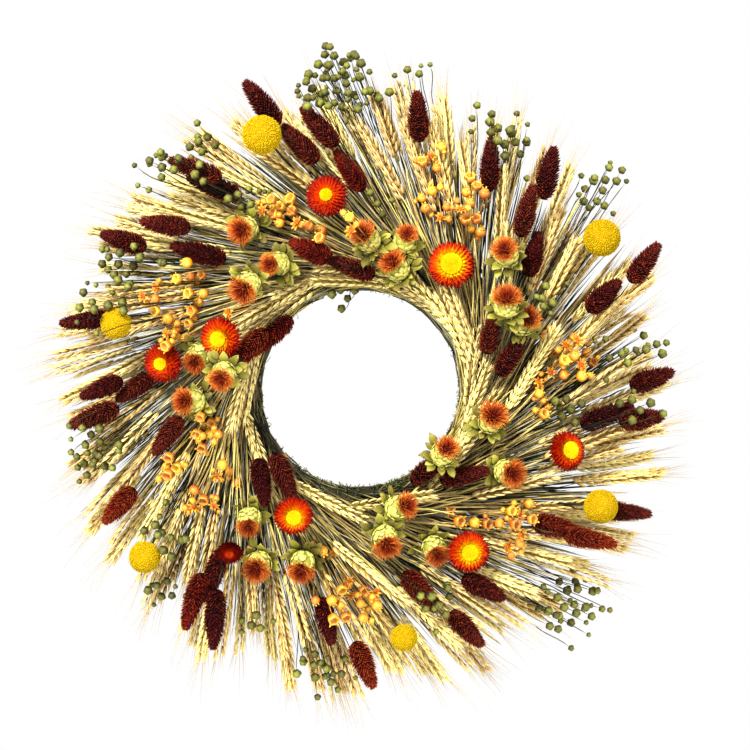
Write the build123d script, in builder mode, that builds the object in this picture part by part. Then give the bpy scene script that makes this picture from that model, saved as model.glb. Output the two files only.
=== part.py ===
from build123d import *
import copy
import math
import os
import random

# Harvest door wreath: bunches of dried stems bound on a welded wire ring that hangs by a wire loop.
# Millimetres. +X is right, +Z is up and the front faces -Y. The origin is the hanging point, the
# inside of the loop's top, where a hook bears.
# A place on the ring is a radius and an angle round the ring's centre, the angle anticlockwise from
# +X as seen from the front, and a depth, which is the distance forward of the door.

# Wire ring
HOOP_RADII = [94, 112, 131, 150]
HOOP_WIRE = 1.5  # wire radius
HOOP_DEPTH = 4.5  # centre line of the hoops
CROSS_WIRE = 1.2
CROSS_WELD = 0.3  # how far a cross wire is melted into a hoop
CROSS_COUNT = 6
CROSS_OVERHANG = 2

# Bound core of moss and stem ends
CORE_HOLE = 88
CORE_RIM = 144
CORE_BACK = 6
CORE_THICK = 22

# Paddle wire and raffia
BINDING_WIRE = 0.6
BINDING_TURNS = 24
BINDING_GAP = 0.1
TURN_BEND = 3.5  # how tightly a turn bends at its corners
RAFFIA_ANGLE = 222
RAFFIA_WIDE = 5
RAFFIA_THICK = 0.8

# Hanger
LOOP_WIRE = 1.0
LOOP_HALF = 8  # half the distance between the legs' centre lines
LOOP_RISE = 26  # from the pivot axis up to the hanging point
EYE_LONG = 4
EYE_CLEARANCE = 0.4

# Wheat. Every stalk lies along a tangent to a circle that the layer names. Its place along the
# tangent is measured from the point of touch.
STEM = 1.1
WHEAT_BUNCHES = 12
BUNCH_ANGLE = 360 / WHEAT_BUNCHES
WHEAT_LAYERS = {
    # touch circle, stalks, start, ear tip, depth at start, depth at tip, ear radius, awns
    "back": (90, 44, 50, 258, 39, 17, 6.2, 34),
    "outer": (92, 48, 50, 262, 39, 30, 6.6, 34),
    "middle": (112, 44, 50, 212, 43, 53, 6.4, 30),
    "inner": (118, 40, 26, 150, 47, 60, 6.2, 24),
    "rim": (101, 14, -25, 62, 46, 60, 5.6, 20),
}
LAID_BEFORE_HEADS = ("back", "outer", "middle", "rim")
EAR_LENGTH = (78, 94)
STALK_TRIES = 24
STALK_LIFTS = (0, 4, 8, 12)  # how far a stalk may be raised to lie over its neighbours
CLEAR = 0.5  # least gap between any two dried pieces

# Heads that lie on the wheat, as (angle, radius) on the ring
PULL = 94  # the heads point along tangents to about this circle
STUB = 12  # length of stem kept under a head
PEDICEL = 0.6  # stem radius of the round heads
CANARY_LENGTH = (40, 54)
CANARY_RADIUS = (8.0, 10.5)
CANARY_PLACES = [
    (13, 135), (2, 255), (21, 226), (24, 125), (24, 268), (38, 191),
    (47, 211), (49, 246), (78, 242), (60, 226),
    (93, 190), (95, 106), (99, 229), (104, 219), (109, 260), (110, 127), (126, 217), (127, 237),
    (140, 184), (140, 220), (148, 242), (150, 90), (162, 103), (166, 243),
    (180, 197), (180, 224), (186, 232), (194, 173), (206, 233), (224, 118),
    (230, 101), (232, 206), (232, 232), (238, 233), (262, 204),
    (271, 239), (287, 184), (294, 227), (302, 204),
    (315, 92), (321, 118), (325, 208), (327, 236), (335, 252), (354, 216), (354, 244),
]
CANARY_CLUSTERS = 6

SAFFLOWER_CLUSTERS = [
    [(23, 156), (32, 147), (44, 172), (73, 140), (89, 134)],
    [(76, 113), (126, 132), (127, 171), (140, 130)],
    [(171, 145), (176, 118), (184, 152), (231, 154)],
    [(240, 180), (252, 166), (280, 137), (292, 108), (295, 159)],
    [(326, 90), (331, 151), (349, 117)],
]
SAFFLOWER_BULB = 9.5
SAFFLOWER_TUFT = 12.5
SAFFLOWER_LONG = 30
SAFFLOWER_LEAN = 38  # degrees from facing straight forward

# angle, radius, disc radius, lean in degrees
STRAWFLOWERS = [
    (54, 134, 21, 8),
    (100, 170, 19, 8),
    (161, 129, 19.5, 24),
    (173, 174, 18.5, 20),
    (232, 181, 13.5, 30),
    (243, 124, 17.5, 12),
    (304, 170, 19, 10),
    (344, 190, 18, 30),
]
STRAWFLOWER_THICK = 15

# angle, radius, ball radius
CRASPEDIAS = [
    (32, 247, 16),
    (111, 232, 16.5),
    (165, 216, 13),
    (218, 235, 13.5),
    (280, 218, 11.5),
    (334, 230, 14.5),
]
CRASPEDIA_RISE = 70  # degrees that they face forward of the ring's plane

# Pods in loose heaps: angle, radius and how many
GOLDEN_TURN = 137.5
POD_RISE = 50  # degrees that pods face forward of the ring's plane
ORANGE_POD = 4.7
ORANGE_PITCH = 6.6
ORANGE_SPRAYS = [
    [(56, 175, 3), (60, 199, 5), (64, 172, 3), (71, 173, 3), (72, 210, 4)],
    [(94, 139, 2), (105, 142, 3), (114, 170, 8)],
    [(146, 181, 4), (150, 133, 1), (152, 163, 4), (157, 196, 4), (163, 169, 6)],
    [(195, 137, 6), (202, 175, 3), (213, 139, 4), (216, 169, 4)],
    [(257, 187, 1), (260, 146, 2), (267, 184, 11), (275, 179, 2)],
    [(306, 141, 2), (312, 160, 2), (315, 192, 2), (321, 178, 7), (353, 158, 2), (2, 152, 3),
     (8, 185, 12)],
]
FLAX_POD = 4.2
FLAX_PITCH = 6.2
FLAX_SPRAYS = [
    [(7, 226, 3), (8, 257, 4), (26, 180, 4), (39, 264, 4), (41, 286, 4), (58, 250, 6), (62, 255, 5)],
    [(81, 284, 2), (84, 164, 4), (86, 256, 3), (95, 266, 24), (100, 82, 5)],
    [(122, 195, 5), (123, 255, 4), (127, 229, 3), (131, 253, 6)],
    [(149, 225, 3), (153, 241, 6), (156, 223, 2), (161, 220, 3), (163, 246, 4)],
    [(189, 233, 4), (195, 240, 6), (214, 216, 3), (219, 211, 5), (225, 245, 5)],
    [(245, 223, 4), (260, 244, 6), (266, 252, 2)],
    [(291, 196, 6), (314, 264, 14), (355, 181, 6), (356, 237, 5)],
]

FRONT_LIMIT = 150  # heads are brought down onto the wheat from this depth
BACK_LIMIT = 20
DROP_STEP = 0.5
BINDING_ALLOWANCE = 1.5  # how far the binding stands out of the core
CORE_ROD_TURN = 7.5  # degrees of the ring for each rod that stands for the core

DOOR_Y = HOOP_DEPTH
AXIS_Z = -LOOP_RISE
CENTRE_Z = AXIS_Z - math.sqrt(HOOP_RADII[-1] ** 2 - LOOP_HALF**2)
CENTRE = (0, DOOR_Y, CENTRE_Z)


def spot(radius, angle, depth):
    """A point on the ring."""
    turn = math.radians(angle)
    return (radius * math.cos(turn), DOOR_Y - depth, CENTRE_Z + radius * math.sin(turn))


def outward(angle, forward=0):
    """A unit direction in the ring's plane at an angle from +X, raised towards the front."""
    turn, rise = math.radians(angle), math.radians(forward)
    return (math.cos(turn) * math.cos(rise), -math.sin(rise), math.sin(turn) * math.cos(rise))


def along(point, direction, distance):
    return tuple(p + distance * d for p, d in zip(point, direction))


def section_plane(angle):
    """A radial cut of the ring: local x is the radius and local y the depth."""
    turn = math.radians(angle)
    return Plane(
        origin=CENTRE,
        x_dir=(math.cos(turn), 0, math.sin(turn)),
        z_dir=(math.sin(turn), 0, -math.cos(turn)),
    )


def spin_plane(base, direction):
    """A plane whose local y runs along a stem from its base."""
    stem = Vector(*direction)
    side = stem.cross(Vector(0, 1, 0))
    if side.length < 0.1:
        side = stem.cross(Vector(1, 0, 0))
    side = side.normalized()
    return Plane(origin=base, x_dir=side, z_dir=side.cross(stem))


def lathe(base, direction, outline):
    """A solid turned from an outline of (radius, distance) points about a stem."""
    with BuildPart() as turned:
        with BuildSketch(spin_plane(base, direction)):
            with BuildLine():
                Polyline((0, outline[0][1]), *outline, (0, outline[-1][1]), close=True)
            make_face()
        revolve(axis=Axis(base, direction))
    return turned.part


def keep(builder, name):
    """Labels a finished piece and writes it to its file."""
    builder.part.label = name
    export_step(builder.part, f"parts/{name}.step")


def keep_group(solids, name):
    """Keeps separate solids of one kind as one piece."""
    with BuildPart() as group:
        add(solids)
    keep(group, name)


# ---------------------------------------------------------------- clearances between dried pieces


def rod_gap(rod, other):
    """The gap between two round-ended rods, each (end, end, radius). A ball is a rod of no length."""
    p, q, r = rod
    s, t, w = other
    u = [b - a for a, b in zip(p, q)]
    v = [b - a for a, b in zip(s, t)]
    d = [a - b for a, b in zip(p, s)]
    uu = sum(a * a for a in u)
    vv = sum(a * a for a in v)
    uv = sum(a * b for a, b in zip(u, v))
    ud = sum(a * b for a, b in zip(u, d))
    vd = sum(a * b for a, b in zip(v, d))
    bend = uu * vv - uv * uv
    m = min(1, max(0, (uv * vd - ud * vv) / bend)) if bend > 1e-9 else 0
    n = (uv * m + vd) / vv if vv > 0 else 0
    if vv == 0 or n < 0 or n > 1:
        n = min(1, max(0, n))
        m = min(1, max(0, (uv * n - ud) / uu)) if uu > 0 else 0
    apart = [dk + m * uk - n * vk for dk, uk, vk in zip(d, u, v)]
    return math.sqrt(sum(a * a for a in apart)) - r - w


def near_in_front_view(rod, other):
    reach = rod[2] + other[2] + CLEAR
    return all(
        min(rod[0][k], rod[1][k]) - reach < max(other[0][k], other[1][k])
        and min(other[0][k], other[1][k]) - reach < max(rod[0][k], rod[1][k])
        for k in (0, 2)
    )


def shifted(rod, back):
    """A rod moved back towards the door."""
    (ax, ay, az), (bx, by, bz), radius = rod
    return ((ax, ay + back, az), (bx, by + back, bz), radius)


# Rods for all that already lies on the ring, first of all the core with its binding: a circle of
# short rods round each edge of the core
core_round = CORE_THICK / 2
laid = [
    (
        spot(radius, step * CORE_ROD_TURN, CORE_BACK + core_round),
        spot(radius, (step + 1) * CORE_ROD_TURN, CORE_BACK + core_round),
        core_round + BINDING_ALLOWANCE,
    )
    for radius in (CORE_HOLE + core_round, CORE_RIM - core_round)
    for step in range(int(360 / CORE_ROD_TURN))
]


def is_clear(rods):
    return all(
        rod_gap(rod, other) >= CLEAR
        for rod in rods
        for other in laid
        if near_in_front_view(rod, other)
    )


def bring_down(rods):
    """How far back a piece goes from the front limit before it meets what is laid there."""
    pairs = [(rod, other) for rod in rods for other in laid if near_in_front_view(rod, other)]
    back = 0
    while back < FRONT_LIMIT - BACK_LIMIT and shifted_gap(pairs, back + DROP_STEP) >= CLEAR:
        back += DROP_STEP
    laid.extend(shifted(rod, back) for rod in rods)
    return back


def shifted_gap(pairs, back):
    return min((rod_gap(shifted(rod, back), other) for rod, other in pairs), default=CLEAR)


os.makedirs("parts", exist_ok=True)

# ---------------------------------------------------------------- wire ring

for number, hoop_radius in enumerate(HOOP_RADII, start=1):
    with BuildPart(Plane(origin=spot(0, 0, HOOP_DEPTH), z_dir=(0, 1, 0))) as hoop:
        Torus(hoop_radius, HOOP_WIRE)
    keep(hoop, f"frame_hoop_{number}")

cross_depth = HOOP_DEPTH - HOOP_WIRE - CROSS_WIRE + CROSS_WELD
cross_start = HOOP_RADII[0] - CROSS_OVERHANG
cross_length = HOOP_RADII[-1] - HOOP_RADII[0] + 2 * CROSS_OVERHANG
with BuildPart() as cross_wires:
    for angle in range(0, 360, 360 // CROSS_COUNT):
        with BuildSketch(Plane(origin=spot(cross_start, angle, cross_depth), z_dir=outward(angle))):
            Circle(CROSS_WIRE)
        extrude(amount=cross_length)
keep(cross_wires, "frame_cross_wires")

# ---------------------------------------------------------------- core and binding

core_middle = (CORE_HOLE + CORE_RIM) / 2
core_front = CORE_BACK + CORE_THICK
with BuildPart() as core:
    with BuildSketch(section_plane(0)):
        with Locations((core_middle, CORE_BACK + CORE_THICK / 2)):
            SlotOverall(CORE_RIM - CORE_HOLE, CORE_THICK)
    revolve(axis=Axis(CENTRE, (0, 1, 0)), revolution_arc=360)
keep(core, "stem_core")


def turn_outline(out):
    """Corners of a turn that goes flat behind the hoops, over the core and through the hole."""
    back = HOOP_DEPTH - HOOP_WIRE - out
    front = core_front + out
    hole = CORE_HOLE - out
    rim = HOOP_RADII[-1] + HOOP_WIRE + out + 0.8
    shoulder = CORE_THICK
    return [
        (rim, back),
        (rim, 16),
        (core_middle + shoulder, front),
        (core_middle - shoulder, front),
        (hole, shoulder),
        (hole, back),
    ]


step_angle = 360 / BINDING_TURNS
with BuildPart() as binding:
    for turn_number in range(BINDING_TURNS):
        with BuildLine(section_plane(90 + (turn_number + 0.5) * step_angle)) as turn:
            FilletPolyline(*turn_outline(BINDING_WIRE + BINDING_GAP), radius=TURN_BEND, close=True)
        with BuildSketch(Plane(origin=turn.line @ 0, z_dir=turn.line % 0)):
            Circle(BINDING_WIRE)
        sweep(path=turn.line)
keep(binding, "binding_wire")

with BuildPart() as raffia:
    with BuildSketch(section_plane(RAFFIA_ANGLE)) as band:
        Polygon(*turn_outline(BINDING_GAP + RAFFIA_THICK), align=None)
        fillet(band.vertices(), TURN_BEND)
        with BuildSketch(section_plane(RAFFIA_ANGLE), mode=Mode.PRIVATE) as inside:
            Polygon(*turn_outline(BINDING_GAP), align=None)
            fillet(inside.vertices(), TURN_BEND - RAFFIA_THICK)
        add(inside.sketch_local, mode=Mode.SUBTRACT)
    extrude(amount=RAFFIA_WIDE / 2, both=True)
keep(raffia, "raffia_tie")

# ---------------------------------------------------------------- hanger

eye_bore = HOOP_WIRE + EYE_CLEARANCE
eye_outside = eye_bore + 2 * LOOP_WIRE
bend_z = LOOP_WIRE - LOOP_HALF  # centre of the loop's top bend
leg_z = AXIS_Z + eye_bore + LOOP_WIRE  # the legs end inside the eyes' walls
with BuildPart() as hanger:
    with BuildLine(Plane.XZ) as bail:
        Line((-LOOP_HALF, leg_z), (-LOOP_HALF, bend_z))
        ThreePointArc((-LOOP_HALF, bend_z), (0, LOOP_WIRE), (LOOP_HALF, bend_z))
        Line((LOOP_HALF, bend_z), (LOOP_HALF, leg_z))
    with BuildSketch(Plane(origin=bail.line @ 0, z_dir=bail.line % 0)):
        Circle(LOOP_WIRE)
    sweep(path=bail.line)
    for x in (-LOOP_HALF, LOOP_HALF):
        with BuildSketch(Plane(origin=(x - EYE_LONG / 2, 0, AXIS_Z), z_dir=(1, 0, 0))):
            Circle(eye_outside)
            Circle(eye_bore, mode=Mode.SUBTRACT)
        extrude(amount=EYE_LONG)
keep(hanger, "hanging_loop")

# ---------------------------------------------------------------- wheat


class Stalk:
    """One stem of wheat: where it lies, and the rods that stand for it in the clearance test."""

    def __init__(self, layer, angle, reach):
        touch, _, start, tip, start_depth, tip_depth, self.ear_radius, self.awns = layer
        self.ear = chance.uniform(*EAR_LENGTH)
        foot = spot(touch + chance.uniform(-3, 5), angle, 0)
        run = outward(angle + 90)
        end_depth = tip_depth + chance.uniform(-4, 4)
        self.base = along(foot, run, start)
        self.base = (self.base[0], DOOR_Y - start_depth, self.base[2])
        tip_point = along(foot, run, tip + reach)
        tip_point = (tip_point[0], DOOR_Y - end_depth, tip_point[2])
        self.length = math.dist(self.base, tip_point)
        self.direction = tuple((b - a) / self.length for a, b in zip(self.base, tip_point))

    def lifted(self, forward):
        raised = copy.copy(self)
        raised.base = along(self.base, (0, -1, 0), forward)
        return raised

    def rods(self):
        neck = self.length - self.ear
        awn_middle = self.length + self.awns / 2
        fat = self.ear_radius
        spans = [
            (0, neck, STEM),
            (neck + 0.8 * fat, self.length - 0.6 * fat, fat),
            (self.length, awn_middle, fat / 2),
            (awn_middle, self.length + self.awns, fat / 4),
        ]
        return [
            (along(self.base, self.direction, a), along(self.base, self.direction, b), radius)
            for a, b, radius in spans
        ]

    def build(self):
        neck = self.length - self.ear
        fat = self.ear_radius
        return lathe(self.base, self.direction, [
            (STEM, 0),
            (STEM, neck),
            (fat, neck + 0.35 * self.ear),
            (0.92 * fat, neck + 0.7 * self.ear),
            (0.55 * fat, self.length),
            (0.2, self.length + self.awns),
        ])


def lay_layer(layer):
    """Lays one layer of stalks, leaving out those that find no clear place."""
    stalks = layer[1]
    for number in range(stalks):
        even_angle = (number + 0.5) * 360 / stalks
        bunch = int(even_angle // BUNCH_ANGLE)
        aside = even_angle - (bunch + 0.5) * BUNCH_ANGLE
        shorter = 16 * (2 * aside / BUNCH_ANGLE) ** 2  # a bunch is longest at its middle
        for _ in range(STALK_TRIES):
            wobble = chance.uniform(-0.4, 0.4) * 360 / stalks
            stalk = Stalk(layer, even_angle - 0.1 * aside + wobble, 5 - shorter + chance.uniform(-7, 7))
            lift = next((f for f in STALK_LIFTS if is_clear(stalk.lifted(f).rods())), None)
            if lift is not None:
                laid.extend(stalk.lifted(lift).rods())
                bunches[bunch].append(stalk.lifted(lift))
                break


chance = random.Random(11)
bunches = [[] for _ in range(WHEAT_BUNCHES)]
for name in LAID_BEFORE_HEADS:
    lay_layer(WHEAT_LAYERS[name])

# ---------------------------------------------------------------- heads laid on the wheat


def pointing(radius, angle):
    """The way a stem at this place points, anticlockwise and outward."""
    return angle + math.degrees(math.asin(min(0.98, PULL / radius)))


def rods_along(base, direction, spans):
    return [(along(base, direction, a), along(base, direction, b), r) for a, b, r in spans]


def lay(base, rods):
    """Brings a head down onto what lies below it, and gives its base there."""
    back = bring_down(rods)
    return (base[0], base[1] + back, base[2])


def canary_head(angle, radius):
    long = chance.uniform(*CANARY_LENGTH)
    fat = chance.uniform(*CANARY_RADIUS)
    way = outward(pointing(radius, angle) + chance.uniform(-10, 10), chance.uniform(0, 12))
    base = along(spot(radius, angle, FRONT_LIMIT), way, -long / 2)
    rods = rods_along(base, way, [(-STUB, 0, STEM), (0.8 * fat, long - 0.9 * fat, fat)])
    return lathe(lay(base, rods), way, [
        (STEM, -STUB),
        (STEM, 0),
        (0.75 * fat, 0.12 * long),
        (fat, 0.35 * long),
        (0.9 * fat, 0.65 * long),
        (0.5 * fat, 0.9 * long),
        (0.3, long),
    ])


def safflower_head(angle, radius):
    """A bulb of bracts with a wider tuft on top."""
    way = outward(
        pointing(radius, angle) + chance.uniform(-50, 50),
        90 - SAFFLOWER_LEAN + chance.uniform(-12, 12),
    )
    base = along(spot(radius, angle, FRONT_LIMIT), way, -0.7 * SAFFLOWER_LONG)
    rods = rods_along(base, way, [
        (-STUB / 2, 0, STEM),
        (8, 12, SAFFLOWER_BULB + 0.3),
        (22, 22, SAFFLOWER_TUFT + 1),
    ])
    return lathe(lay(base, rods), way, [
        (STEM, -STUB / 2),
        (STEM, 0),
        (0.65 * SAFFLOWER_BULB, 1.5),
        (SAFFLOWER_BULB, 8),
        (0.9 * SAFFLOWER_BULB, 14),
        (0.7 * SAFFLOWER_BULB, 18),
        (SAFFLOWER_TUFT, 27),
        (0.8 * SAFFLOWER_TUFT, SAFFLOWER_LONG),
    ])


def strawflower_head(angle, radius, disc, lean):
    way = outward(pointing(radius, angle), 90 - lean)
    base = along(spot(radius, angle, FRONT_LIMIT), way, -STRAWFLOWER_THICK)
    plane = spin_plane(base, way)
    rods = rods_along(base, way, [(-STUB / 2, 0, STEM), (7.5, 7.5, 7.5)])
    for reach, fat, count in ((disc - 5, 5, 14), (disc / 2, 6.5, 6)):
        for k in range(count):
            turn = 2 * math.pi * k / count
            point = plane.from_local_coords((reach * math.cos(turn), 8, reach * math.sin(turn)))
            rods.append((tuple(point), tuple(point), fat))
    return lathe(lay(base, rods), way, [
        (STEM, -STUB / 2),
        (STEM, 0),
        (0.45 * disc, 2),
        (0.85 * disc, 5.5),
        (disc, 8),
        (0.95 * disc, 11),
        (0.5 * disc, 13.5),
        (0.2, STRAWFLOWER_THICK),
    ])


def ball_head(angle, radius, fat, forward, stub):
    """A round head on a short thin stem."""
    way = outward(pointing(radius, angle), forward)
    base = along(spot(radius, angle, FRONT_LIMIT), way, -fat)
    base = lay(base, rods_along(base, way, [(-stub, 0, PEDICEL), (fat, fat, fat)]))
    low = fat - math.sqrt(fat**2 - PEDICEL**2)
    with BuildPart() as ball:
        with BuildSketch(spin_plane(base, way)):
            with BuildLine():
                Polyline((0, 2 * fat), (0, -stub), (PEDICEL, -stub), (PEDICEL, low))
                ThreePointArc((PEDICEL, low), (fat, fat), (0, 2 * fat))
            make_face()
        revolve(axis=Axis(base, way))
    return ball.part


def heap(angle, radius, count, pitch):
    """Places in a loose round heap, as (angle, radius)."""
    middle = spot(radius, angle, 0)
    for k in range(count):
        reach = pitch * math.sqrt(k + 0.3) * chance.uniform(0.85, 1.15)
        x, _, z = along(middle, outward(GOLDEN_TURN * k + 7 * angle), reach)
        yield math.degrees(math.atan2(z - CENTRE_Z, x)) % 360, math.hypot(x, z - CENTRE_Z)


def pod_spray(heaps, fat, pitch):
    return [
        ball_head(angle, radius, fat * chance.uniform(0.88, 1.1), POD_RISE, STUB / 2)
        for one_heap in heaps
        for angle, radius in heap(*one_heap, pitch)
    ]


for cluster in range(CANARY_CLUSTERS):
    places = [p for p in CANARY_PLACES if int(p[0] * CANARY_CLUSTERS // 360) == cluster]
    keep_group([canary_head(*place) for place in places], f"canary_grass_{cluster + 1}")

for number, places in enumerate(SAFFLOWER_CLUSTERS, start=1):
    keep_group([safflower_head(*place) for place in places], f"safflower_cluster_{number}")

for number, flower in enumerate(STRAWFLOWERS, start=1):
    keep_group([strawflower_head(*flower)], f"strawflower_{number}")

for number, (angle, radius, fat) in enumerate(CRASPEDIAS, start=1):
    keep_group([ball_head(angle, radius, fat, CRASPEDIA_RISE, STUB)], f"craspedia_{number}")

for number, heaps in enumerate(ORANGE_SPRAYS, start=1):
    keep_group(pod_spray(heaps, ORANGE_POD, ORANGE_PITCH), f"orange_pod_spray_{number}")

for number, heaps in enumerate(FLAX_SPRAYS, start=1):
    keep_group(pod_spray(heaps, FLAX_POD, FLAX_PITCH), f"flax_spray_{number}")

# ---------------------------------------------------------------- last wheat, laid between the heads

for name in WHEAT_LAYERS:
    if name not in LAID_BEFORE_HEADS:
        lay_layer(WHEAT_LAYERS[name])

for number, bunch in enumerate(bunches, start=1):
    keep_group([stalk.build() for stalk in bunch], f"wheat_bunch_{number:02}")
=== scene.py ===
import math
from collections import namedtuple

import bpy
import mathutils
import numpy as np
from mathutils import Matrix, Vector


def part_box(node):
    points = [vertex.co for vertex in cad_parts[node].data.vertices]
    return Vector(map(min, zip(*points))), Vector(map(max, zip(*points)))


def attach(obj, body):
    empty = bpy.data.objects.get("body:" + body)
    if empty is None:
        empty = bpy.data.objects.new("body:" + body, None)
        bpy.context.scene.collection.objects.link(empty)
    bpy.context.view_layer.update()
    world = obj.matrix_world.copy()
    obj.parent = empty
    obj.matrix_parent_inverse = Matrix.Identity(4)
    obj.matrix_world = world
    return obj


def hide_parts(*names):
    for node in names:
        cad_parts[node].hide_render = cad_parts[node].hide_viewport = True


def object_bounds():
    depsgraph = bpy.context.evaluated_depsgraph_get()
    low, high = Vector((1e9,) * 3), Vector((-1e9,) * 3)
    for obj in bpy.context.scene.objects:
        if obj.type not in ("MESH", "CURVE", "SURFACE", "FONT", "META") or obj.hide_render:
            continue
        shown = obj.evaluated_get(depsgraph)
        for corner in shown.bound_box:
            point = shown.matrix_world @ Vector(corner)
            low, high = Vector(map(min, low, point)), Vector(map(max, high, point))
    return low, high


# The looks of a harvest wreath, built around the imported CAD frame. Every dried head and stalk stands
# where its CAD solid is: the solids' places, directions and sizes are read from the frame.
# Metres; +X is right, +Z is up and the front faces -Y.

MM = 0.001
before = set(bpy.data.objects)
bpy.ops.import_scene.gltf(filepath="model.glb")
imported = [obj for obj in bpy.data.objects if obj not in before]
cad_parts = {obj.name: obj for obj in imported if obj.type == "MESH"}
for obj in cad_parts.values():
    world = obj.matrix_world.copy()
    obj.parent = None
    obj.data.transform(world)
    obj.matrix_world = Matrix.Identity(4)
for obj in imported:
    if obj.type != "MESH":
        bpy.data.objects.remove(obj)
cad_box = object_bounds()
scene = bpy.context.scene
rng = np.random.default_rng(5)
normal, random, uniform = rng.normal, rng.random, rng.uniform

core_low, core_high = (np.array(corner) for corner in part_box("stem_core"))
CENTRE = (core_low + core_high) / 2
CORE_RIM = (core_high[0] - core_low[0]) / 2
CORE_BACK = core_high[1]
CORE_FRONT = core_low[1]
CORE_HOLE = 88 * MM
DOOR_Y = CORE_BACK + 6 * MM  # the core stands this far off the door
FORWARD = np.array([0.0, -1.0, 0.0])

# Not quite forward, so that they are never along a stem or head that points straight forward
ROPE_OUT, HEAD_OUT, POD_OUT = FORWARD + 0.01, FORWARD + 0.013, FORWARD + 0.02

WELD = 0.01 * MM  # points nearer than this are one
LEVEL_GAP = 0.3 * MM  # points nearer than this along a solid's axis are on one level
END_BAND = 0.8 * MM  # points of a solid this near its end belong to the end
BACK = cad_box[1][1] - 0.5 * MM  # nothing reaches behind this, where the door is
TURN = 2 * math.pi

Shape = namedtuple("Shape", "points tris grade")
Turned = namedtuple("Turned", "base way length fat neck widest")


# ---- reading the CAD solids


def solids(node):
    """The points of each separate solid of a node."""
    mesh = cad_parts[node].data
    points = np.empty(len(mesh.vertices) * 3)
    mesh.vertices.foreach_get("co", points)
    points = points.reshape(-1, 3)
    mesh.calc_loop_triangles()
    tris = np.empty(len(mesh.loop_triangles) * 3, int)
    mesh.loop_triangles.foreach_get("vertices", tris)
    points, same = np.unique(np.round(points / WELD), axis=0, return_inverse=True)
    points, tris = points * WELD, same.reshape(-1)[tris].reshape(-1, 3)
    label = np.arange(len(points))
    while True:
        low = label[tris].min(axis=1)
        new = label.copy()
        for k in range(3):
            np.minimum.at(new, tris[:, k], low)
        new = new[new]
        if (new == label).all():
            break
        label = new
    return [points[label == k] for k in np.unique(label)]


def turned(points, stem_radius):
    """Where a turned solid stands: its stem's end, direction, length and greatest radius, and how far
    along it the stem ends and the greatest radius is."""
    middle = points.mean(axis=0)
    sizes, ways = np.linalg.eigh(np.cov((points - middle).T))
    odd = 2 if sizes[2] - sizes[1] > sizes[1] - sizes[0] else 0
    way = ways[:, odd]
    height = (points - middle) @ way
    radius = np.linalg.norm(points - middle - height[:, None] * way, axis=1)
    misfit = [abs(radius[np.abs(height - end) < END_BAND].max() - stem_radius)
              for end in (height.min(), height.max())]
    if misfit[0] > misfit[1]:
        way, height = -way, -height
    base = middle + height.min() * way
    levels = height - height.min()
    neck = levels[levels > LEVEL_GAP].min()
    return Turned(base, way, float(np.ptp(height)), float(radius.max()), float(neck),
                  float(levels[radius.argmax()]))


# ---- shapes in plain arrays


def unit(v):
    """Vectors scaled to length one."""
    v = np.asarray(v, float)
    return v / np.linalg.norm(v, axis=-1, keepdims=True)


def ring_tris(rings, sides):
    """Triangles of a closed form made of a point, rings of points, and a point."""
    k = np.arange(sides)
    n = (k + 1) % sides
    last = 1 + rings * sides
    tris = [np.stack([np.zeros(sides, int), 1 + n, 1 + k], axis=1)]
    for r in range(rings - 1):
        a, b = 1 + r * sides, 1 + (r + 1) * sides
        tris.append(np.stack([a + k, a + n, b + n], axis=1))
        tris.append(np.stack([a + k, b + n, b + k], axis=1))
    a = 1 + (rings - 1) * sides
    tris.append(np.stack([a + k, a + n, np.full(sides, last)], axis=1))
    return np.concatenate(tris)


def blade(length, widths, depths, sides, curl=0.0, cup=0.0, thick=MM):
    """A closed leaf or grain along +z: half widths in x and half depths in y at even steps between two
    pointed ends. curl bends the tip towards +y, cup lifts its edges towards +y. All but the length are
    in units of thick."""
    rings = len(widths)
    step = (np.arange(rings) + 1) / (rings + 1)
    turn = TURN * np.arange(sides) / sides
    points = [np.zeros((1, 3))]
    for s, w, d in zip(step, widths, depths):
        x = w * thick * np.cos(turn)
        y = d * thick * np.sin(turn) + cup * thick * np.cos(turn) ** 2 + curl * thick * s * s
        points.append(np.stack([x, y, np.full(sides, s * length)], axis=1))
    points.append(np.array([[0, curl * thick, length]]))
    grade = np.concatenate([[0], np.repeat(step, sides), [1]])
    return Shape(np.concatenate(points), ring_tris(rings, sides), grade)


def rope(path, radii, sides):
    """A closed round tube along a path, pointed at both ends."""
    path = np.array(path, float)
    path[:, 1] = np.minimum(path[:, 1], BACK - np.max(radii))
    along = unit(np.gradient(path, axis=0))
    side = unit(np.cross(along, ROPE_OUT))
    up = np.cross(along, side)
    turn = TURN * np.arange(sides) / sides
    rim = np.cos(turn)[:, None, None] * side + np.sin(turn)[:, None, None] * up
    body = path + rim * np.broadcast_to(radii, len(path))[:, None]
    points = np.concatenate([path[:1], body[:, 1:-1].swapaxes(0, 1).reshape(-1, 3), path[-1:]])
    rings = len(path) - 2
    grade = np.concatenate([[0], np.repeat((np.arange(rings) + 1) / (rings + 1), sides), [1]])
    return Shape(points, ring_tris(rings, sides), grade)


def lobed(profile, sides, lobes=0, depth=0.0):
    """A closed turned form along +z from (radius, height) pairs, pinched into lobes."""
    turn = TURN * np.arange(sides) / sides
    swell = 1 + depth * np.cos(lobes * turn)
    points = [np.array([[0, 0, profile[0][1]]])]
    for radius, height in profile[1:-1]:
        r = radius * swell
        points.append(np.stack([r * np.cos(turn), r * np.sin(turn), np.full(sides, height)], axis=1))
    points.append(np.array([[0, 0, profile[-1][1]]]))
    heights = np.array([h for _, h in profile])
    level = (heights - heights.min()) / np.ptp(heights)
    grade = np.concatenate([[level[0]], np.repeat(level[1:-1], sides), [level[-1]]])
    return Shape(np.concatenate(points), ring_tris(len(profile) - 2, sides), grade)


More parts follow.
